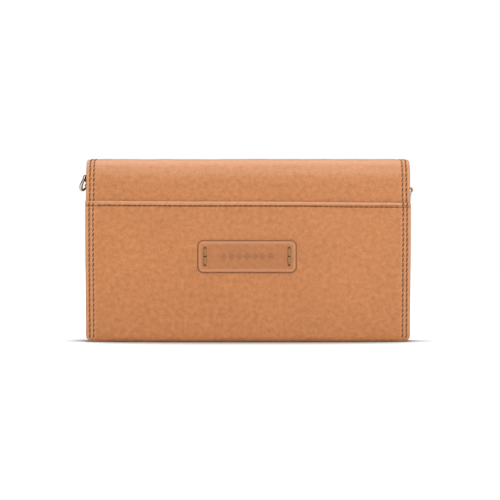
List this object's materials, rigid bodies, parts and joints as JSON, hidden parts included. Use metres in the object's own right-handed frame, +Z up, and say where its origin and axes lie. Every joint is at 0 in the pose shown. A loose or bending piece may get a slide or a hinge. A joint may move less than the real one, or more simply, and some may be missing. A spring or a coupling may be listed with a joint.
{
  "type": "long wallet",
  "caption": "Long leather wallet with a wrap-over flap, back slip pocket, gusseted compartments, zipped coin pocket and D rings.",
  "frame": {"origin": "centre of the flat base, midway across the width", "axes": "+X across the width, -Y out of the plain back with the slip pocket, +Y out of the flap, +Z up"},
  "size_m": [0.2067, 0.0305, 0.1127],
  "materials": {
    "hide": "matte",
    "lining": "matte",
    "stiffener": "matte",
    "thread": "matte",
    "nickel": "polished",
    "zip_tape": "matte"
  },
  "bodies": {
    "back_section": {"back_panel": "hide", "back_stiffener": "stiffener", "back_lining": "lining", "back_pocket_panel": "hide", "name_patch": "hide", "patch_stitches": "thread", "back_seam_threads": "thread", "hem_thread": "thread", "base_panel": "hide", "base_stiffener": "stiffener", "card_row_1": "lining", "card_row_2": "lining", "card_row_3": "lining", "card_row_4": "lining", "card_seam_thread": "thread", "gusset_left_back": "lining", "gusset_left_front": "lining", "gusset_right_back": "lining", "gusset_right_front": "lining"},
    "coin_section": {"coin_pocket": "lining", "zip_tape_back": "zip_tape", "zip_tape_front": "zip_tape", "zip_teeth_back": "nickel", "zip_teeth_front": "nickel", "zip_end_stops": "nickel", "ring_tab_left": "hide", "ring_tab_right": "hide", "ring_tab_stitches": "thread"},
    "slider": {"zip_slider": "nickel", "zip_pull_pin": "nickel"},
    "pull": {"zip_pull": "nickel"},
    "left_ring": {"d_ring_left": "nickel"},
    "right_ring": {"d_ring_right": "nickel"},
    "front_section": {"front_panel": "hide", "front_stiffener": "stiffener", "front_lining": "lining", "receipt_pocket": "lining", "front_seam_threads": "thread", "snap_socket": "nickel", "snap_socket_washer": "nickel"},
    "flap_top_section": {"flap_top": "hide", "flap_top_stiffener": "stiffener", "flap_top_lining": "lining", "flap_top_threads": "thread"},
    "flap_front_section": {"flap_front": "hide", "flap_front_stiffener": "stiffener", "flap_front_lining": "lining", "flap_front_threads": "thread", "snap_stud": "nickel", "snap_stud_washer": "nickel"}
  },
  "joints": [
    {"name": "flap_top_fold", "type": "hinge", "parent": "back_section", "child": "flap_top_section", "pos_m": [0, -0.00932, 0.10897], "axis": [1, 0, 0], "range_deg": [0, 90]},
    {"name": "flap_front_fold", "type": "hinge", "parent": "flap_top_section", "child": "flap_front_section", "pos_m": [0, 0.01082, 0.10897], "axis": [1, 0, 0], "range_deg": [0, 90]},
    {"name": "coin_pocket_tilt", "type": "hinge", "parent": "back_section", "child": "coin_section", "pos_m": [0, 0.00895, 0.0012], "axis": [1, 0, 0], "range_deg": [-8, 0], "deforming": ["gusset_left_back", "gusset_right_back"]},
    {"name": "front_panel_tilt", "type": "hinge", "parent": "back_section", "child": "front_section", "pos_m": [0, 0.00895, 0.0012], "axis": [1, 0, 0], "range_deg": [-16, 0], "deforming": ["gusset_left_front", "gusset_right_front"]},
    {"name": "zip_slide", "type": "slide", "parent": "coin_section", "child": "slider", "axis": [-1, 0, 0], "range_m": [0, 0.15]},
    {"name": "zip_pull_swing", "type": "hinge", "parent": "slider", "child": "pull", "pos_m": [0.075, -0.00045, 0.0862], "axis": [0, 1, 0], "range_deg": [0, 180]},
    {"name": "left_ring_swing", "type": "hinge", "parent": "coin_section", "child": "left_ring", "pos_m": [-0.0999, -0.00045, 0.1013], "axis": [0.2588, 0.9659, 0], "range_deg": [-20, 120]},
    {"name": "right_ring_swing", "type": "hinge", "parent": "coin_section", "child": "right_ring", "pos_m": [0.1005, -0.00045, 0.0936], "axis": [0, -1, 0], "range_deg": [-2, 145]}
  ],
  "couplings": [
    {"joint": "flap_front_fold", "follows": "flap_top_fold", "ratio": 1},
    {"joint": "coin_pocket_tilt", "follows": "flap_top_fold", "ratio": -0.08},
    {"joint": "front_panel_tilt", "follows": "flap_top_fold", "ratio": -0.17}
  ]
}
